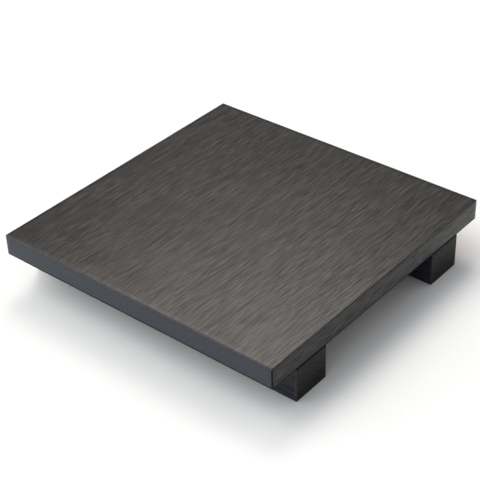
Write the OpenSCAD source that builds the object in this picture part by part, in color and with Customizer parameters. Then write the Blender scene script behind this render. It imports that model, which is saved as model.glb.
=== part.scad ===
// Low square serving board: one plank on two cross-grain legs, screwed together from below.
// The origin is on the table under the centre of the board, X follows the grain of the plank,
// Y follows the legs, and Z points up. All lengths are in millimetres.

/* [Top plank] */
// Length of the plank, along its grain
plank_l = 180; // [150:1:300]
// Width of the plank, across its grain
plank_w = 180; // [120:1:300]
// Thickness of the plank
plank_t = 12.5; // [11:0.5:20]
// Radius of the sanded edges of the plank
plank_edge_r = 0.8; // [0.4:0.1:2]

/* [Legs] */
// Width of a leg, along the grain of the plank
leg_w = 24; // [18:0.5:32]
// Height of a leg, from the table to the underside of the plank
leg_h = 20.5; // [15:0.5:40]
// Distance from the end of the plank to the outer face of a leg
leg_inset = 18.5; // [6:0.5:30]
// Radius of the sanded edges of a leg
leg_edge_r = 0.8; // [0.4:0.1:2]

/* [Leg screws] */
// Diameter of a screw over its thread
screw_d = 3.5; // [3:0.1:4.5]
// Diameter of the core of a screw, between the threads
screw_core_d = 2.4; // [1.8:0.1:2.8]
// Diameter of the countersunk head
head_d = 7; // [6:0.1:9]
// Height of the straight rim of the head
head_rim_h = 0.5; // [0.3:0.1:1]
// Depth of the face of the head above the foot of the leg
head_depth = 3; // [1.5:0.1:6]
// Length of a screw that goes into the plank
screw_bite = 7.5; // [5:0.1:9]
// Length of the point of a screw
screw_point_l = 2.5; // [1:0.1:4]
// Distance from a screw to the nearer end of its leg
screw_inset = 40; // [15:0.5:50]
// Span of the cross recess in the head
recess_span = 4; // [3:0.1:4.5]
// Width of each slot of the cross recess
recess_slot_w = 1; // [0.6:0.1:1.4]
// Depth of the cross recess
recess_depth = 1.6; // [0.8:0.1:2]

/* [Fits] */
// Gap all round the head in its counterbore
head_clear = 0.5; // [0.2:0.1:1.5]
// Gap all round the shank in the leg
shank_clear = 0.25; // [0.1:0.05:0.6]
// Gap all round the core in its pilot hole
core_clear = 0.05; // [0.02:0.01:0.1]
// Gap between the cone of the head and its seat
seat_clear = 0.05; // [0.02:0.01:0.1]
// Length by which the shank stops short of the plank
shank_stop = 0.5; // [0.2:0.1:1.5]

/* [Hidden] */
$fn = 64;

// Length by which a cut runs past the face that it opens
overrun = 1;
// Half angle of the point that a twist drill leaves at the end of a pilot hole, in degrees
drill_half_angle = 59;

leg_l = plank_w;
leg_x = plank_l / 2 - leg_inset - leg_w / 2;
screw_y = leg_l / 2 - screw_inset;

screw_r = screw_d / 2;
core_r = screw_core_d / 2;
head_r = head_d / 2;
head_cone_h = head_r - screw_r;
shank_end = leg_h - head_depth - shank_stop;
screw_l = leg_h - head_depth + screw_bite;

counterbore_r = head_r + head_clear;
seat_r = head_r + seat_clear;
seat_z = head_depth + head_rim_h;
clear_hole_r = screw_r + shank_clear;
pilot_r = core_r + core_clear;
pilot_point_h = pilot_r / tan(drill_half_angle);

left = -1;
right = 1;
front = -1;
back = 1;

// Rectangle centred on the origin, with its four corners rounded
module rounded_rectangle(l, w, r) {
    square([l - 2 * r, w], center = true);
    square([l, w - 2 * r], center = true);
    for (x = [r - l / 2, l / 2 - r], y = [r - w / 2, w / 2 - r])
        translate([x, y]) circle(r);
}

// Block centred over the origin and standing on it, with every edge sanded round
module eased_block(l, w, h, r) {
    translate([0, 0, h / 2]) intersection() {
        linear_extrude(h, center = true) rounded_rectangle(l, w, r);
        rotate([90, 0, 0]) linear_extrude(w, center = true) rounded_rectangle(l, h, r);
        rotate([90, 0, 90]) linear_extrude(l, center = true) rounded_rectangle(w, h, r);
    }
}

// Blind pilot hole, upwards from its mouth, with the cone that the drill leaves
module pilot_hole() {
    rotate_extrude() polygon([
        [0, -overrun],
        [pilot_r, -overrun],
        [pilot_r, screw_bite],
        [0, screw_bite + pilot_point_h],
    ]);
}

// Counterbore, countersunk seat and clearance hole for one screw, upwards from the foot of a leg
module screw_passage() {
    rotate_extrude() polygon([
        [0, -overrun],
        [counterbore_r, -overrun],
        [counterbore_r, seat_z],
        [seat_r, seat_z],
        [clear_hole_r, seat_z + seat_r - clear_hole_r],
        [clear_hole_r, leg_h + overrun],
        [0, leg_h + overrun],
    ]);
}

// Countersunk screw pointing up, with the face of its head on the origin
module leg_screw() {
    difference() {
        rotate_extrude() polygon([
            [0, 0],
            [head_r, 0],
            [head_r, head_rim_h],
            [screw_r, head_rim_h + head_cone_h],
            [screw_r, shank_end],
            [core_r, shank_end],
            [core_r, screw_l - screw_point_l],
            [0, screw_l],
        ]);
        for (turn = [0, 90])
            rotate([0, 0, turn])
                cube([recess_span, recess_slot_w, 2 * recess_depth], center = true);
    }
}

// Plank with its grain along X and its end grain at the left and right
module top_plank() {
    color("#4a4a4b") translate([0, 0, leg_h]) difference() {
        eased_block(plank_l, plank_w, plank_t, plank_edge_r);
        for (side = [left, right], end = [front, back])
            translate([side * leg_x, end * screw_y, 0]) pilot_hole();
    }
}

// Leg across the plank, flush with its sides; the face that is glued to the plank keeps sharp edges
module leg(side) {
    color("#2e2e30") translate([side * leg_x, 0, 0]) difference() {
        eased_block(leg_w, leg_l, leg_h + leg_edge_r, leg_edge_r);
        translate([-leg_w / 2 - overrun, -leg_l / 2 - overrun, leg_h])
            cube([leg_w + 2 * overrun, leg_l + 2 * overrun, leg_edge_r + overrun]);
        for (end = [front, back])
            translate([0, end * screw_y, 0]) screw_passage();
    }
}

module placed_screw(side, end) {
    color("#b4b1a8") translate([side * leg_x, end * screw_y, head_depth]) leg_screw();
}

top_plank();
leg(left);  // left_leg
leg(right);  // right_leg
placed_screw(left, front);  // left_front_screw
placed_screw(left, back);  // left_back_screw
placed_screw(right, front);  // right_front_screw
placed_screw(right, back);  // right_back_screw
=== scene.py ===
"""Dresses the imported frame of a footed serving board.

The board is a square plank of black-stained wood, screwed to two legs. Lengths are in metres. X follows the
grain of the plank, Y follows the legs, and Z points up from the table.
"""

import math

import bmesh
import bpy
from bpy.props import FloatProperty, FloatVectorProperty, IntProperty, PointerProperty
from mathutils import Matrix, Vector, noise


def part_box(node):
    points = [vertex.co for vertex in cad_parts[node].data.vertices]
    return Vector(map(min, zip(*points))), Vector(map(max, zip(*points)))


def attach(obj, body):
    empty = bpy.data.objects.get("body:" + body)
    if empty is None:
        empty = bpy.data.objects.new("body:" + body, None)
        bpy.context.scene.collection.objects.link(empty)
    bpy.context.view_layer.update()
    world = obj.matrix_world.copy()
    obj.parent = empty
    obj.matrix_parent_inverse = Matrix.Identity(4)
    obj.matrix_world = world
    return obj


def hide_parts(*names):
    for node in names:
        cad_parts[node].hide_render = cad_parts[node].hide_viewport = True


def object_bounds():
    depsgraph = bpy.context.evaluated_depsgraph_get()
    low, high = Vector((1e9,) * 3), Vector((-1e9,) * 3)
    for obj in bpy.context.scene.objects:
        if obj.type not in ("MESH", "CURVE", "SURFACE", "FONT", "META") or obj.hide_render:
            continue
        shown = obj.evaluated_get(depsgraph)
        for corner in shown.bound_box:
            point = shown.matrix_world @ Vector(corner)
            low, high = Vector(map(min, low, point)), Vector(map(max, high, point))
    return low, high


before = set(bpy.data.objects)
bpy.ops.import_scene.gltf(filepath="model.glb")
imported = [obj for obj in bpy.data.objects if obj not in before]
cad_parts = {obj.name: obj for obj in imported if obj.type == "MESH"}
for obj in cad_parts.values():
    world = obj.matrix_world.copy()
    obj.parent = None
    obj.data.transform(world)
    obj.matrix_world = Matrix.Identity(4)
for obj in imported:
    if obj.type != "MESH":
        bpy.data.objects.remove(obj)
CAD_LOW, CAD_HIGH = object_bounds()

bl_info = {
    "name": "Footed Serving Board",
    "version": (1, 0, 0),
    "blender": (4, 5, 0),
    "location": "3D View > Sidebar > Board",
    "description": "A square plank of black-stained wood on two legs, with its screws and a studio",
    "category": "Add Mesh",
}

MM = 0.001
# Points nearer than this are merged
SAME_POINT = 1e-7
# Places that differ by less than this are the same
TOUCHING = 1e-6
# A face looks along an axis when its normal has more than this share of it
FACING = 0.8
# A drill starts this far outside the wood
OVERSHOOT = 1.0 * MM
# The cone that a drill leaves is this high for each unit of its radius
DRILL_CONE = 0.6
# Cut edges that turn by more than this stay sharp
SHARP_ANGLE = math.radians(50)
# The sockets of a Mix node for two colours and for what they become
MIX_ONE, MIX_OTHER, MIX_RESULT = 6, 7, 2

X_AXIS = Vector((1, 0, 0))
Y_AXIS = Vector((0, 1, 0))
Z_AXIS = Vector((0, 0, 1))

ROOT_BODY = "root"
PLANK = "top_plank"
SCREWS_OF_LEG = {
    "left_leg": ("left_front_screw", "left_back_screw"),
    "right_leg": ("right_front_screw", "right_back_screw"),
}
# The angle, in degrees, at which each screw came to a stop
STOP_OF_SCREW = {
    "left_front_screw": 105,
    "left_back_screw": 136,
    "right_front_screw": 116,
    "right_back_screw": 147,
}


# Sizes and colours that a user may change

class BoardShape(bpy.types.PropertyGroup):
    """Sizes of the wooden pieces that the frame doesn't give"""

    arris: FloatProperty(name="Arris", default=0.6 * MM, min=0.0, unit="LENGTH",
                         description="Radius of the sanded edges")
    joint_arris: FloatProperty(name="Joint arris", default=0.6 * MM, min=0.0, unit="LENGTH",
                               description="Radius of a leg's edges where it meets the plank")
    arris_steps: IntProperty(name="Arris steps", default=4, min=1,
                             description="Faces across a sanded edge")
    joint_steps: IntProperty(name="Joint steps", default=2, min=1,
                             description="Faces across a leg's edge where it meets the plank")
    step: FloatProperty(name="Step", default=3.0 * MM, min=1.0 * MM, unit="LENGTH",
                        description="Mesh size on the faces of the wood")
    waviness: FloatProperty(name="Waviness", default=0.025 * MM, min=0.0, unit="LENGTH",
                            description="Depth of the unevenness that planing and sanding leave")
    wave_length: FloatProperty(name="Wave length", default=38.0 * MM, min=5.0 * MM, unit="LENGTH",
                               description="Distance over which a sanded face rises and falls")
    rub: FloatProperty(name="Rub", default=0.1 * MM, min=0.0, unit="LENGTH",
                       description="Depth to which use has rubbed the arrises unevenly")
    rub_length: FloatProperty(name="Rub length", default=16.0 * MM, min=2.0 * MM, unit="LENGTH",
                              description="Length of a rubbed stretch of arris")


class BoardHardware(bpy.types.PropertyGroup):
    """Sizes of the screws and of the holes that they pass through"""

    head_radius: FloatProperty(name="Head radius", default=3.5 * MM, unit="LENGTH",
                               description="Radius of a screw's countersunk head")
    head_rim: FloatProperty(name="Head rim", default=0.5 * MM, unit="LENGTH",
                            description="Height of the rim of the head")
    head_ease: FloatProperty(name="Head ease", default=0.1 * MM, unit="LENGTH",
                             description="Chamfer round the face of the head")
    head_depth: FloatProperty(name="Head depth", default=3.0 * MM, unit="LENGTH",
                              description="Height of the head with its cone")
    shank_radius: FloatProperty(name="Shank radius", default=1.75 * MM, unit="LENGTH",
                                description="Radius of the plain shank and of the thread's crest")
    shank_stop: FloatProperty(name="Shank stop", default=1.0 * MM, unit="LENGTH",
                              description="How far below the joint the plain shank ends")
    shoulder: FloatProperty(name="Shoulder", default=0.3 * MM, unit="LENGTH",
                            description="Length over which the shank narrows to the core")
    core_radius: FloatProperty(name="Core radius", default=1.2 * MM, unit="LENGTH",
                               description="Radius between the turns of the thread")
    pitch: FloatProperty(name="Pitch", default=1.6 * MM, unit="LENGTH",
                         description="Rise of the thread in one turn")
    bite: FloatProperty(name="Bite", default=7.5 * MM, unit="LENGTH",
                        description="Length of screw that is in the plank")
    point: FloatProperty(name="Point", default=2.5 * MM, unit="LENGTH",
                         description="Length of the screw's sharpened point")
    recess_span: FloatProperty(name="Recess span", default=4.0 * MM, unit="LENGTH",
                               description="Width of the crossed recess in the head")
    recess_slot: FloatProperty(name="Recess slot", default=1.0 * MM, unit="LENGTH",
                               description="Width of each slot of the recess")
    recess_depth: FloatProperty(name="Recess depth", default=1.6 * MM, unit="LENGTH",
                                description="Depth of the recess")
    counterbore_radius: FloatProperty(name="Counterbore radius", default=4.0 * MM, unit="LENGTH",
                                      description="Radius of the hole that hides a head")
    mouth_width: FloatProperty(name="Mouth width", default=0.25 * MM, unit="LENGTH",
                               description="How much wider the counterbore is at its eased mouth")
    mouth_depth: FloatProperty(name="Mouth depth", default=0.3 * MM, unit="LENGTH",
                               description="Depth of the counterbore's eased mouth")
    clearance_radius: FloatProperty(name="Clearance radius", default=2.0 * MM, unit="LENGTH",
                                    description="Radius of the hole round the shank")
    pilot_radius: FloatProperty(name="Pilot radius", default=1.25 * MM, unit="LENGTH",
                                description="Radius of the hole in the plank")
    pilot_depth: FloatProperty(name="Pilot depth", default=8.5 * MM, unit="LENGTH",
                               description="Depth of the hole in the plank")
    turn_steps: IntProperty(name="Turn steps", default=40, min=12,
                            description="Faces round a screw")


class BoardFinish(bpy.types.PropertyGroup):
    """Colours and grain of the stained wood and of the screws"""

    stain: FloatVectorProperty(name="Stain", default=(0.0138, 0.0128, 0.0118), size=3,
                               subtype="COLOR", description="Black stain on the plank's long grain")
    # The cut ends' blue and part of their lightness are painted light: the cool light from the left, put
    # into the colour
    end_stain_and_blue_light: FloatVectorProperty(name="End stain", default=(0.0209, 0.0268, 0.0378), size=3,
                                   subtype="COLOR", description="Dusty blue-black of the plank's cut ends")
    # The blue of the legs' long faces is painted light: the cool light from the left, put into the colour
    leg_stain_and_blue_light: FloatVectorProperty(name="Leg stain", default=(0.017, 0.0193, 0.027), size=3,
                                   subtype="COLOR", description="Blue-black of the legs' long faces")
    leg_end_stain: FloatVectorProperty(name="Leg end stain", default=(0.0095, 0.0092, 0.0092), size=3,
                                       subtype="COLOR", description="Deep black of the legs' cut ends")
    # Black of the stain in the pores; it is also the painted shade on the lower rims and on the shaded
    # arrises
    pore_and_shade: FloatVectorProperty(name="Pore", default=(0.003, 0.003, 0.003), size=3,
                              subtype="COLOR", description="Stain that has gathered in the pores")
    # Paler colour for the arrises: rubbed wood, and partly a painted highlight along them
    rubbed: FloatVectorProperty(name="Rubbed", default=(0.06, 0.055, 0.05), size=3,
                                subtype="COLOR", description="Paler wood that shows on rubbed arrises")
    satin: FloatProperty(name="Satin", default=0.24, min=0.05, max=1.0, subtype="FACTOR",
                         description="Roughness of the oiled long grain")
    ring_spacing: FloatProperty(name="Ring spacing", default=2.7 * MM, unit="LENGTH",
                                description="Distance between growth rings")
    steel: FloatVectorProperty(name="Steel", default=(0.56, 0.55, 0.53), size=3,
                               subtype="COLOR", description="Zinc-plated steel of the screws")
    grime: FloatVectorProperty(name="Grime", default=(0.05, 0.045, 0.04), size=3,
                               subtype="COLOR", description="Stain and dust that cling to the screws")


class Board(bpy.types.PropertyGroup):
    """All the settings of the board"""

    shape: PointerProperty(type=BoardShape)
    hardware: PointerProperty(type=BoardHardware)
    finish: PointerProperty(type=BoardFinish)


# Shader maths

class Value:
    """One output of a node tree, with Python's operators turned into Math nodes."""

    def __init__(self, nodes, socket):
        self.nodes = nodes
        self.socket = socket

    def math(self, operation, *others):
        return self.nodes.add("ShaderNodeMath", {"operation": operation}, dict(enumerate((self, *others))))

    def __add__(self, other):
        return self.math("ADD", other)

    def __sub__(self, other):
        return self.math("SUBTRACT", other)

    def __rsub__(self, other):
        return self.nodes.add("ShaderNodeMath", {"operation": "SUBTRACT"}, {0: other, 1: self})

    def __mul__(self, other):
        return self.math("MULTIPLY", other)

    def __truediv__(self, other):
        return self.math("DIVIDE", other)

    def __pow__(self, power):
        return self.math("POWER", power)

    def __abs__(self):
        return self.math("ABSOLUTE")

    __radd__ = __add__
    __rmul__ = __mul__

    def larger(self, other):
        return self.math("MAXIMUM", other)

    def smaller(self, other):
        return self.math("MINIMUM", other)

    def fade(self, start, end):
        """0 at start and 1 at end, held beyond them, with a soft step between."""
        settings = {"interpolation_type": "SMOOTHSTEP", "clamp": True}
        inputs = {"Value": self, "From Min": start, "From Max": end}
        return self.nodes.add("ShaderNodeMapRange", settings, inputs)


class Nodes:
    """The node tree of a material or of the world, filled by one method."""

    def __init__(self, owner):
        owner.use_nodes = True
        self.owner = owner
        self.tree = owner.node_tree
        self.tree.nodes.clear()

    def add(self, kind, settings=None, inputs=None, output=0):
        """Adds a node, sets it, gives its sockets values or links, and returns an output if it has one."""
        made = self.tree.nodes.new(kind)
        for name, setting in (settings or {}).items():
            setattr(made, name, setting)
        for name, value in (inputs or {}).items():
            if isinstance(value, Value):
                self.tree.links.new(value.socket, made.inputs[name])
            else:
                made.inputs[name].default_value = value
        return Value(self, made.outputs[output]) if made.outputs else None

    def noise(self, place, cells, detail=2.0, roughness=0.5):
        """Noise from 0 to 1, with so many cells to the metre along X, Y and Z."""
        stretched = self.add("ShaderNodeVectorMath", {"operation": "MULTIPLY"}, {0: place, 1: cells})
        inputs = {"Vector": stretched, "Scale": 1.0, "Detail": detail, "Roughness": roughness}
        return self.add("ShaderNodeTexNoise", None, inputs)

    def split(self, vector):
        """The X, Y and Z of a vector."""
        return [self.add("ShaderNodeSeparateXYZ", None, {0: vector}, axis) for axis in range(3)]

    def blend(self, share, one, other):
        """Goes from one colour to the other as the share goes from 0 to 1."""
        inputs = {0: share, MIX_ONE: one, MIX_OTHER: other}
        return self.add("ShaderNodeMix", {"data_type": "RGBA"}, inputs, MIX_RESULT)

    def shade(self, colour, share):
        """A colour made darker or lighter by a share."""
        return self.add("ShaderNodeVectorMath", {"operation": "SCALE"}, {0: colour, "Scale": share})


def opaque(colour):
    """A colour with the alpha that a colour socket asks for."""
    return (*colour, 1.0)


# Finishes

def late_wood(wood, along, spacing):
    """1 on the dark rim of each growth ring, round a tree whose centre lies outside the piece."""
    centre_across, centre_below = 310 * MM, 170 * MM
    wander_across, wander_up = 6 * MM, 4 * MM
    waver = wood.noise(along, cells=(7, 9, 9), detail=1)
    _, across, up = wood.split(along)
    across = across + centre_across + waver * wander_across
    up = up + centre_below + waver * wander_up
    rings = (across * across + up * up) ** 0.5 / spacing
    return rings.math("FRACT") ** 2


def near_arris(wood, place, low, high, reach):
    """1 on the arrises of a block and 0 from the reach on, worked out from the block's two corners."""
    middle = (low + high) / 2
    half = (high - low) / 2
    depths = [half[i] - abs(axis - middle[i]) for i, axis in enumerate(wood.split(place))]
    deepest = depths[0].larger(depths[1]).larger(depths[2])
    return (depths[0] + depths[1] + depths[2] - deepest).fade(reach, 0.0)


def wood_grain(wood, along):
    """Fine fibres, coarser strands, open pores and pale flecks, each from 0 to 1 and drawn out along X."""
    fibres = wood.noise(along, cells=(90, 3100, 3100), detail=1, roughness=0.5).fade(0.36, 0.64)
    strands = wood.noise(along, cells=(35, 1100, 1100), detail=2, roughness=0.55).fade(0.3, 0.7)
    pores = wood.noise(along, cells=(120, 3000, 3000), detail=1, roughness=0.4).fade(0.6, 0.72)
    flecks = wood.noise(along, cells=(100, 3000, 3000), detail=0).fade(0.68, 0.8)
    return fibres, strands, pores, flecks


def stained_wood(name, block, grain, stain, finish, coat, dulling=0.0, shift=(0, 0, 0), contrast=1.0,
                 wear_and_highlight=1.0, top_light=0.0, rim_shade=0.0, ring_depth=0.15):
    """Open-pored wood, stained black and oiled, its grain along one axis of a block given by two corners.

    Coat is the refractive index of the oil, dulling roughens it, and contrast strengthens the grain. Shift
    takes the grain from another place in the tree. wear_and_highlight is how much paler wood shows on the
    arrises: partly rubbed wood, partly a painted highlight. top_light lightens the wood towards its top as
    a painted reflection of the brighter floor further off. rim_shade is how black and dull the lower rim is
    made, as painted shade, and ring_depth is how dark the growth rings are.
    """
    low, high = block
    rim_starts, rim_whole = low.z + 1.6 * MM, low.z + 0.9 * MM
    arris_reach = 1.4 * MM
    satin = finish.satin + dulling

    wood = Nodes(bpy.data.materials.new(name))
    place = wood.add("ShaderNodeTexCoord", output="Object")
    turn = (0, 0, 0) if grain == X_AXIS else (0, 0, -math.pi / 2)
    along = wood.add("ShaderNodeMapping", None, {"Vector": place, "Location": shift, "Rotation": turn})
    fibres, strands, pores, flecks = wood_grain(wood, along)
    blotches = wood.noise(place, cells=(19, 24, 24), detail=2)
    scuffs = wood.noise(place, cells=(210, 210, 210), detail=3, roughness=0.6).fade(0.4, 0.65)

    height = wood.split(place)[2]
    rise = height.fade(low.z, high.z)
    # Painted shade: the lower rim is blended towards black and its oil is thinned
    rim_shade_share = height.fade(rim_starts, rim_whole) * rim_shade
    edge = near_arris(wood, place, low, high, arris_reach)
    # Partly rubbed wood and partly a painted highlight: the arrises are made paler
    wear_and_highlight_share = edge * (scuffs * 0.5 + 0.4) * wear_and_highlight

    rings = late_wood(wood, along, finish.ring_spacing) * ring_depth
    streaks = (fibres - 0.5) * 1.3 + (strands - 0.5) * 0.6 - rings
    # The lift towards the top is painted light: a painted reflection of the brighter floor further off
    tone = 1.0 + (streaks * 0.85 + flecks * 0.15) * contrast + (blotches - 0.5) * 0.5 + rise * top_light
    colour = wood.shade(tuple(stain), tone.larger(0.1))
    colour = wood.blend(pores * 0.6, colour, opaque(finish.pore_and_shade))
    colour = wood.blend(wear_and_highlight_share, colour, opaque(finish.rubbed))
    # Painted shade along the lower rim
    colour = wood.blend(rim_shade_share, colour, opaque(finish.pore_and_shade))

    grip = (streaks + flecks * 0.15 - pores * 0.6) * contrast
    oil = (0.8 + grip * 0.3) * (1.0 - rim_shade_share * 0.85)
    roughness = satin + (fibres - 0.5) * 0.06 + (blotches - 0.5) * 0.06 + edge * 0.15
    relief = fibres * 0.3 + strands * 0.15 - pores * 0.6
    bumps = wood.add("ShaderNodeBump", None, {"Strength": 0.12, "Distance": 0.05 * MM, "Height": relief})
    surface = wood.add("ShaderNodeBsdfPrincipled", None, {
        "Base Color": colour, "Roughness": roughness, "IOR": 1.12, "Normal": bumps,
        "Coat Weight": oil.larger(0.0).smaller(1.0), "Coat Roughness": satin, "Coat IOR": coat,
    })
    wood.add("ShaderNodeOutputMaterial", None, {"Surface": surface})
    return wood.owner


def arris_shade_finish(name, block, grain, finish):
    """Painted shade: a dull, deep black for the arrises that hang and stand."""
    return stained_wood(name, block, grain, finish.pore_and_shade, finish, coat=1.15, dulling=0.25, contrast=0.4,
                        wear_and_highlight=0.0)


def plated_steel(finish):
    """Zinc-plated steel, finely mottled, with patches of dull grime."""
    steel = Nodes(bpy.data.materials.new("plated_steel"))
    place = steel.add("ShaderNodeTexCoord", output="Object")
    grains = steel.noise(place, cells=(2600, 2600, 2600), detail=2, roughness=0.6)
    clouds = steel.noise(place, cells=(420, 420, 420), detail=3, roughness=0.6)
    stains = clouds.fade(0.48, 0.66)
    colour = steel.shade(tuple(finish.steel), 0.8 + grains * 0.3)
    colour = steel.blend(stains * 0.6, colour, opaque(finish.grime))
    relief = grains + clouds
    bumps = steel.add("ShaderNodeBump", None, {"Strength": 0.4, "Distance": 0.02 * MM, "Height": relief})
    surface = steel.add("ShaderNodeBsdfPrincipled", None, {
        "Base Color": colour, "Metallic": 1.0 - stains * 0.7, "Normal": bumps,
        "Roughness": 0.3 + grains * 0.12 + stains * 0.3,
    })
    steel.add("ShaderNodeOutputMaterial", None, {"Surface": surface})
    return steel.owner


def floor_paint():
    """Matt white paint of the studio floor, which also glows a little where it is seen round the board."""
    glow_starts = max(CAD_HIGH[0], CAD_HIGH[1])
    glow_whole = glow_starts + 40 * MM
    glow_share = 0.35
    paint = Nodes(bpy.data.materials.new("floor_white"))
    place = paint.add("ShaderNodeTexCoord", output="Object")
    clouds = paint.noise(place, cells=(6, 6, 6), detail=2)
    white = paint.shade((1.0, 1.0, 1.0), 0.915 + clouds * 0.02)
    matt = paint.add("ShaderNodeBsdfDiffuse", None, {"Color": white})
    glow = paint.add("ShaderNodeEmission", None, {"Color": (1, 1, 1, 1), "Strength": 1.0})
    across, along, _ = [abs(axis) for axis in paint.split(place)]
    rays = ("Is Camera Ray", "Is Glossy Ray", "Is Transmission Ray")
    seen = sum(paint.add("ShaderNodeLightPath", output=ray) for ray in rays).smaller(1.0)
    share = seen * across.larger(along).fade(glow_starts, glow_whole) * glow_share
    surface = paint.add("ShaderNodeMixShader", None, {0: share, 1: matt, 2: glow})
    paint.add("ShaderNodeOutputMaterial", None, {"Surface": surface})
    return paint.owner


# Meshes

def solid_block(low, high):
    """A box between two corners."""
    bm = bmesh.new()
    bmesh.ops.create_cube(bm, size=1.0)
    bmesh.ops.scale(bm, vec=high - low, verts=bm.verts)
    bmesh.ops.translate(bm, vec=(low + high) / 2, verts=bm.verts)
    return bm


def ease_edges(bm, radius, steps, chosen):
    """Rounds the chosen edges."""
    edges = [edge for edge in bm.edges if chosen(edge)]
    bmesh.ops.bevel(bm, geom=edges, offset=radius, offset_type="OFFSET", segments=steps, profile=0.5,
                    affect="EDGES", material=-1, clamp_overlap=True)


def slice_block(bm, low, high, step):
    """Slices a block across each axis, so that its faces and its arrises can be shaped."""
    for index, axis in enumerate((X_AXIS, Y_AXIS, Z_AXIS)):
        length = high[index] - low[index]
        count = max(2, round(length / step))
        for cut in range(1, count):
            point = axis * (low[index] + length * cut / count)
            geometry = bm.verts[:] + bm.edges[:] + bm.faces[:]
            bmesh.ops.bisect_plane(bm, geom=geometry, plane_co=point, plane_no=axis, dist=SAME_POINT)


def weather(bm, low, high, shape, flat_face, seed):
    """Sinks the faces a little in slow waves and the arrises in rubbed stretches, never outwards.

    The glued face, where flat_face(point) is true, stays as it is.
    """
    middle = (low + high) / 2
    half = (high - low) / 2
    reach = 1.6 * shape.arris
    # The noise goes from -1 to 1, and this lift leaves more than half of the arrises rubbed
    lift = 0.25
    wave_shift = Vector((seed, 0, 0))
    rub_shift = Vector((0, seed, 3.0))
    bm.normal_update()
    sunk = {}
    for vert in bm.verts:
        depths = sorted(half[i] - abs(vert.co[i] - middle[i]) for i in range(3))
        wave = 0.5 + 0.5 * noise.noise(vert.co / shape.wave_length + wave_shift)
        stretch = max(0.0, noise.noise(vert.co / shape.rub_length + rub_shift) + lift)
        nearness = max(0.0, 1.0 - depths[1] / reach)
        inside = 0.0 if flat_face(vert.co) else 1.0
        sunk[vert] = (shape.waviness * wave + shape.rub * stretch * nearness) * inside
    for vert, depth in sunk.items():
        vert.co -= vert.normal * depth


def finished_piece(bm, name, materials):
    """Turns a bmesh into an object of the scene, its faces outwards, and frees it."""
    bmesh.ops.recalc_face_normals(bm, faces=bm.faces)
    mesh = bpy.data.meshes.new(name)
    bm.to_mesh(mesh)
    bm.free()
    mesh.shade_smooth()
    piece = bpy.data.objects.new(name, mesh)
    for material in materials:
        mesh.materials.append(material)
    bpy.context.scene.collection.objects.link(piece)
    return piece


def bored(piece, cutters):
    """Cuts the cutters out of a piece for good, and removes them."""
    for cutter in cutters:
        cut = piece.modifiers.new("hole", "BOOLEAN")
        cut.operation = "DIFFERENCE"
        cut.solver = "EXACT"
        cut.object = cutter
    solved = bpy.data.meshes.new_from_object(piece.evaluated_get(bpy.context.evaluated_depsgraph_get()))
    piece.modifiers.clear()
    solved.set_sharp_from_angle(angle=SHARP_ANGLE)
    rough = piece.data
    piece.data = solved
    solved.name = rough.name
    bpy.data.meshes.remove(rough)
    for cutter in cutters:
        bpy.data.meshes.remove(cutter.data)
    return piece


def turned(profile, centre, steps):
    """A solid of revolution about a vertical axis through the centre, from points of radius and height."""
    bm = bmesh.new()
    points = [bm.verts.new((centre.x + radius, centre.y, height)) for radius, height in profile]
    edges = [bm.edges.new(pair) for pair in zip(points, points[1:])]
    bmesh.ops.spin(bm, geom=points + edges, cent=centre, axis=Z_AXIS, angle=math.tau, steps=steps,
                   use_merge=True)
    bmesh.ops.remove_doubles(bm, verts=bm.verts, dist=SAME_POINT)
    return bm


def stand_for(piece, node):
    """Shows a piece in place of a node of the frame."""
    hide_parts(node)
    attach(piece, ROOT_BODY)


def screw_centre(screw):
    """The point on the table under a screw."""
    low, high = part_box(screw)
    return Vector(((low.x + high.x) / 2, (low.y + high.y) / 2, 0.0))


def spoke_to(vert, axis):
    """The level vector from an upright axis to a vertex."""
    return Vector((vert.co.x - axis.x, vert.co.y - axis.y, 0.0))


def paint_faces(piece, material, chosen):
    """Gives a material to the faces for which chosen(normal, centre) is true."""
    index = piece.data.materials.find(material.name)
    for face in piece.data.polygons:
        if chosen(face.normal, face.center):
            face.material_index = index


def on_arris(centre, low, high, radius):
    """True when a face's centre lies on one of a block's rounded edges."""
    depths = sorted(min(centre[i] - low[i], high[i] - centre[i]) for i in range(3))
    return depths[1] < radius


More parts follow.
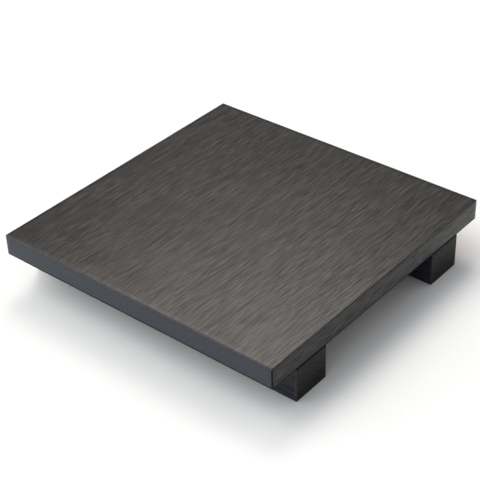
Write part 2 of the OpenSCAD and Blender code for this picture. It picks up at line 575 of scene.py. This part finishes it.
class BOARD_OT_plank(bpy.types.Operator):
    """Make the square plank that is the board's top"""

    bl_idname = "board.plank"
    bl_label = "Plank"

    def execute(self, context):
        board = context.scene.board
        shape, finish = board.shape, board.finish
        block = low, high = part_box(PLANK)
        bm = solid_block(low, high)
        ease_edges(bm, shape.arris, shape.arris_steps, lambda edge: True)
        slice_block(bm, low, high, shape.step)
        weather(bm, low, high, shape, lambda point: point.z < low.z + TOUCHING, seed=1.7)

        faces = stained_wood("plank_long_grain", block, X_AXIS, finish.stain, finish, coat=1.295,
                             contrast=1.2)
        sides = stained_wood("plank_side_grain", block, X_AXIS, finish.stain, finish, coat=1.26,
                             dulling=0.04, contrast=1.2, rim_shade=1.0)
        # The cut ends carry painted cool light in their colour
        ends = stained_wood("plank_end_grain", block, X_AXIS, finish.end_stain_and_blue_light, finish, coat=1.4,
                            dulling=0.18, contrast=0.5, rim_shade=1.0, ring_depth=0.3)
        # Painted shade for the arrises below the top, upright and at the foot
        arris = arris_shade_finish("plank_arris", block, X_AXIS, finish)
        piece = finished_piece(bm, "plank", (faces, sides, ends, arris))
        paint_faces(piece, sides, lambda normal, centre: abs(normal.y) > FACING)
        paint_faces(piece, ends, lambda normal, centre: abs(normal.x) > FACING)
        paint_faces(piece, arris, lambda normal, centre: (on_arris(centre, low, high, shape.arris)
                                                          and centre.z < high.z - shape.arris))

        bits = [self.pilot_bit(node, low.z, board.hardware, ends) for node in STOP_OF_SCREW]
        stand_for(bored(piece, bits), PLANK)
        return {"FINISHED"}

    def pilot_bit(self, node, underside, screw, material):
        """The drill for a screw's blind hole, with the cone at its tip."""
        radius = screw.pilot_radius
        tip = underside + screw.pilot_depth
        cone = tip - radius * DRILL_CONE
        start = underside - OVERSHOOT
        profile = ((0, start), (radius, start), (radius, cone), (0, tip))
        bm = turned(profile, screw_centre(node), screw.turn_steps)
        return finished_piece(bm, "pilot_bit", (material,))


class BOARD_OT_legs(bpy.types.Operator):
    """Make the two legs, with the counterbored holes for their screws"""

    bl_idname = "board.legs"
    bl_label = "Legs"

    def execute(self, context):
        board = context.scene.board
        shape, finish = board.shape, board.finish
        for number, leg in enumerate(SCREWS_OF_LEG):
            block = low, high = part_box(leg)
            bm = solid_block(low, high)
            ease_edges(bm, shape.joint_arris, shape.joint_steps, lambda edge: self.is_at_joint(edge, high))
            ease_edges(bm, shape.arris, shape.arris_steps, lambda edge: self.is_free(edge, low, high))
            slice_block(bm, low, high, shape.step)
            weather(bm, low, high, shape, lambda point: point.z > high.z - TOUCHING, seed=5.3 + number)

            shift = (0.23 + 0.31 * number, 0.06, 0.11)
            # The long faces carry painted cool light in their colour
            faces = stained_wood(leg + "_long_grain", block, Y_AXIS, finish.leg_stain_and_blue_light, finish, coat=1.3,
                                 dulling=0.04, shift=shift, contrast=0.6)
            # The legs' cut ends are painted lighter towards the top and painted black along the foot
            ends = stained_wood(leg + "_end_grain", block, Y_AXIS, finish.leg_end_stain, finish, coat=1.13,
                                dulling=0.25, shift=shift, contrast=2.2, top_light=1.9, rim_shade=0.7, ring_depth=0.3)
            # Painted shade for the arrises at the foot, at the joint and at the right side
            arris = arris_shade_finish(leg + "_arris", block, Y_AXIS, finish)
            piece = finished_piece(bm, leg + "_bar", (faces, ends, arris))
            paint_faces(piece, ends, lambda normal, centre: abs(normal.y) > FACING)
            paint_faces(piece, arris, lambda normal, centre: self.is_shaded_arris(centre, low, high, shape.arris))

            bits = [self.step_bit(node, high.z, board.hardware, ends) for node in SCREWS_OF_LEG[leg]]
            stand_for(bored(piece, bits), leg)
        return {"FINISHED"}

    def is_at_joint(self, edge, high):
        """True for the edges round the top, which meets the plank."""
        return min(vert.co.z for vert in edge.verts) > high.z - TOUCHING

    def is_free(self, edge, low, high):
        """True for the edges below the joint: the four at the foot and the four that stand."""
        ends = [vert.co for vert in edge.verts]
        upright = abs(ends[0].z - ends[1].z) > MM and all(self.is_corner(end, low, high) for end in ends)
        at_foot = max(end.z for end in ends) < low.z + TOUCHING
        return upright or at_foot

    def is_corner(self, point, low, high):
        """True for a point on one of the four upright edges of the block, before they are eased."""
        return all(min(abs(point[i] - low[i]), abs(point[i] - high[i])) < TOUCHING for i in range(2))

    def is_shaded_arris(self, centre, low, high, radius):
        """True on the arrises at the foot, at the joint and at the leg's right side, which get painted
        shade.
        """
        near = centre.z < low.z + radius or centre.z > high.z - radius or centre.x > high.x - radius
        return near and on_arris(centre, low, high, radius)

    def step_bit(self, node, top, screw, material):
        """The drill for a hole through a leg, with its counterbore and its seat for the head's cone."""
        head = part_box(node)[0].z
        seat = head + screw.head_rim
        neck = head + screw.head_depth
        bore, shank = screw.counterbore_radius, screw.clearance_radius
        mouth = bore + screw.mouth_width
        profile = ((0, -OVERSHOOT), (mouth, -OVERSHOOT), (mouth, 0.0), (bore, screw.mouth_depth),
                   (bore, seat), (screw.head_radius, seat), (shank, neck), (shank, top + OVERSHOOT),
                   (0, top + OVERSHOOT))
        bm = turned(profile, screw_centre(node), screw.turn_steps)
        return finished_piece(bm, "step_bit", (material,))


class BOARD_OT_screws(bpy.types.Operator):
    """Make the four countersunk screws that hold the legs"""

    bl_idname = "board.screws"
    bl_label = "Screws"

    def execute(self, context):
        screw = context.scene.board.hardware
        steel = plated_steel(context.scene.board.finish)
        for node, stop in STOP_OF_SCREW.items():
            head, tip = [corner.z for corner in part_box(node)]
            axis = screw_centre(node)
            piece = self.threaded_body(node + "_steel", axis, head, tip, screw, steel)
            slots = [self.slot_cutter(axis, head, math.radians(stop) + quarter, screw, steel)
                     for quarter in (0, math.pi / 2)]
            stand_for(bored(piece, slots), node)
        return {"FINISHED"}

    def threaded_body(self, name, axis, head, tip, screw, steel):
        """Head, plain shank, thread and point; the thread runs out where the plain parts begin."""
        low = tip - screw.bite - screw.shank_stop
        high = tip - screw.point
        bm = self.long_thread(axis, low, high, screw)
        for level, normal in ((low, -Z_AXIS), (high, Z_AXIS)):
            geometry = bm.verts[:] + bm.edges[:] + bm.faces[:]
            bmesh.ops.bisect_plane(bm, geom=geometry, plane_co=Z_AXIS * level, plane_no=normal,
                                   dist=SAME_POINT, clear_outer=True)
        self.run_out(bm, axis, low, high, screw)
        self.pull_out(bm, axis, low, ((screw.shank_radius, low - screw.shoulder),
                                      (screw.shank_radius, head + screw.head_depth),
                                      (screw.head_radius, head + screw.head_rim),
                                      (screw.head_radius, head + screw.head_ease),
                                      (screw.head_radius - screw.head_ease, head)))
        waist, end = screw.core_radius * 0.55, screw.core_radius * 0.1
        self.pull_out(bm, axis, high, ((waist, tip - screw.point * 0.4), (end, tip)))
        bmesh.ops.holes_fill(bm, edges=[edge for edge in bm.edges if edge.is_boundary], sides=0)
        return finished_piece(bm, name, (steel,))

    def long_thread(self, axis, low, high, screw):
        """A thread with a turn to spare at each end, spun from the outline of one tooth.

        The outline's points are a radius and a share of the pitch.
        """
        turns = math.ceil((high - low) / screw.pitch) + 2
        start = low - screw.pitch
        core, crest = screw.core_radius, screw.shank_radius
        tooth = ((core, 0.0), (core, 0.55), (crest, 0.72), (crest, 0.8), (core, 1.0))
        bm = bmesh.new()
        points = [bm.verts.new((axis.x + radius, axis.y, start + share * screw.pitch))
                  for radius, share in tooth]
        edges = [bm.edges.new(pair) for pair in zip(points, points[1:])]
        rise = Z_AXIS * (screw.pitch / screw.turn_steps)
        bmesh.ops.spin(bm, geom=points + edges, cent=axis, axis=Z_AXIS, dvec=rise, angle=math.tau * turns,
                       steps=screw.turn_steps * turns, use_merge=False)
        bmesh.ops.remove_doubles(bm, verts=bm.verts, dist=TOUCHING)
        return bm

    def run_out(self, bm, axis, low, high, screw):
        """Lowers the thread to the core over two thirds of a turn at each end."""
        share_per_turn = 1.5
        for vert in bm.verts:
            spoke = spoke_to(vert, axis)
            turns = min(vert.co.z - low, high - vert.co.z) / screw.pitch
            proud = (spoke.length - screw.core_radius) * min(1.0, max(0.0, turns * share_per_turn))
            vert.co -= spoke.normalized() * (spoke.length - screw.core_radius - proud)

    def pull_out(self, bm, axis, level, rings):
        """Carries the open rim at a level on through rings of a radius and a height."""
        rim = [edge for edge in bm.edges
               if edge.is_boundary and all(abs(vert.co.z - level) < TOUCHING for vert in edge.verts)]
        for radius, height in rings:
            pulled = bmesh.ops.extrude_edge_only(bm, edges=rim)["geom"]
            rim = [part for part in pulled if isinstance(part, bmesh.types.BMEdge) and part.is_boundary]
            for vert in (part for part in pulled if isinstance(part, bmesh.types.BMVert)):
                vert.co = axis + spoke_to(vert, axis).normalized() * radius + Z_AXIS * height

    def slot_cutter(self, axis, head, turn, screw, steel):
        """One slot of the crossed recess, shorter and narrower at its floor."""
        floor_length, floor_width = 0.5, 0.7
        half = Vector((screw.recess_span / 2, screw.recess_slot / 2, screw.recess_depth))
        bm = solid_block(-half, half)
        for vert in bm.verts:
            if vert.co.z > 0:
                vert.co.x *= floor_length
                vert.co.y *= floor_width
        bmesh.ops.rotate(bm, cent=Vector(), matrix=Matrix.Rotation(turn, 3, "Z"), verts=bm.verts)
        bmesh.ops.translate(bm, vec=axis + Z_AXIS * head, verts=bm.verts)
        return finished_piece(bm, "slot_cutter", (steel,))


# Stage

class BOARD_OT_stage(bpy.types.Operator):
    """Set up the floor, the lamps and the camera"""

    bl_idname = "board.stage"
    bl_label = "Stage"

    def execute(self, context):
        scene = context.scene
        floor_radius, floor_segments = 5.0, 96
        bm = bmesh.new()
        bmesh.ops.create_circle(bm, cap_ends=True, radius=floor_radius, segments=floor_segments)
        finished_piece(bm, "floor", (floor_paint(),))
        studio_air(scene)
        soft_sun("back_lamp", bearing=40, height=48.5, spread=25, strength=1.0, colour=(1.0, 0.93, 0.87))
        soft_sun("behind_lamp", bearing=112, height=40, spread=80, strength=2.1, colour=(1.0, 0.96, 0.87))
        soft_sun("left_lamp", bearing=150, height=38, spread=80, strength=1.1, colour=(0.74, 0.85, 1.0))
        soft_sun("right_lamp", bearing=335, height=38, spread=40, strength=0.12, colour=(1.0, 1.0, 1.0))
        photo_camera(scene)
        scene.view_settings.view_transform = "Standard"
        return {"FINISHED"}


def studio_air(scene):
    """White light from all round, full at the horizon and dimmer above it."""
    dimming = 0.68
    scene.world = bpy.data.worlds.new("studio_air")
    air = Nodes(scene.world)
    height = air.split(air.add("ShaderNodeTexCoord", output="Generated"))[2]
    strength = 1.0 - height.fade(0.02, 0.35) * dimming
    glow = air.add("ShaderNodeBackground", None, {"Color": (1, 1, 1, 1), "Strength": strength})
    air.add("ShaderNodeOutputWorld", None, {"Surface": glow})


def soft_sun(name, bearing, height, spread, strength, colour):
    """Far soft light. In degrees: its bearing from +X towards +Y, its height and how wide it is."""
    data = bpy.data.lights.new(name, "SUN")
    data.angle = math.radians(spread)
    data.energy = strength
    data.color = colour
    lamp = bpy.data.objects.new(name, data)
    turn, rise = math.radians(bearing), math.radians(height)
    out = Vector((math.cos(turn) * math.cos(rise), math.sin(turn) * math.cos(rise), math.sin(rise)))
    lamp.rotation_euler = out.to_track_quat("Z", "Y").to_euler()
    bpy.context.scene.collection.objects.link(lamp)


def photo_camera(scene):
    """A camera where the photograph was taken from, placed from the middle of the plank's underside."""
    azimuth, elevation, roll = math.radians(-49.753), math.radians(34.730), math.radians(-1.615)
    distance, aside, below = 725.506 * MM, 2.4354 * MM, 2.0844 * MM
    back = Vector((math.sin(azimuth) * math.cos(elevation), -math.cos(azimuth) * math.cos(elevation),
                   math.sin(elevation)))
    level = Vector((math.cos(azimuth), math.sin(azimuth), 0.0))
    upright = back.cross(level)
    right = level * math.cos(roll) + upright * math.sin(roll)
    up = upright * math.cos(roll) - level * math.sin(roll)
    joint = Z_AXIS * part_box(PLANK)[0].z
    data = bpy.data.cameras.new("camera")
    data.sensor_width = 36.0
    data.lens = 100.449
    data.clip_start = 10 * MM
    camera = bpy.data.objects.new("camera", data)
    place = joint + back * distance - right * aside - up * below
    camera.matrix_world = Matrix.Translation(place) @ Matrix((right, up, back)).transposed().to_4x4()
    scene.collection.objects.link(camera)
    scene.camera = camera


# Add-on

class BOARD_PT_sidebar(bpy.types.Panel):
    """Lists the board's pieces and its settings"""

    bl_label = "Serving board"
    bl_idname = "BOARD_PT_sidebar"
    bl_space_type = "VIEW_3D"
    bl_region_type = "UI"
    bl_category = "Board"

    def draw(self, context):
        for operator in PIECES:
            self.layout.operator(operator.bl_idname)
        board = context.scene.board
        for group in (board.shape, board.hardware, board.finish):
            box = self.layout.box()
            for name in group.__annotations__:
                box.prop(group, name)


PIECES = (BOARD_OT_plank, BOARD_OT_legs, BOARD_OT_screws, BOARD_OT_stage)
CLASSES = (BoardShape, BoardHardware, BoardFinish, Board, *PIECES, BOARD_PT_sidebar)


def register():
    for cls in CLASSES:
        bpy.utils.register_class(cls)
    bpy.types.Scene.board = PointerProperty(type=Board)


def unregister():
    del bpy.types.Scene.board
    for cls in reversed(CLASSES):
        bpy.utils.unregister_class(cls)


def main():
    """Makes the board and its stage."""
    register()
    bpy.ops.board.plank()
    bpy.ops.board.legs()
    bpy.ops.board.screws()
    bpy.ops.board.stage()


if __name__ == "__main__":
    main()
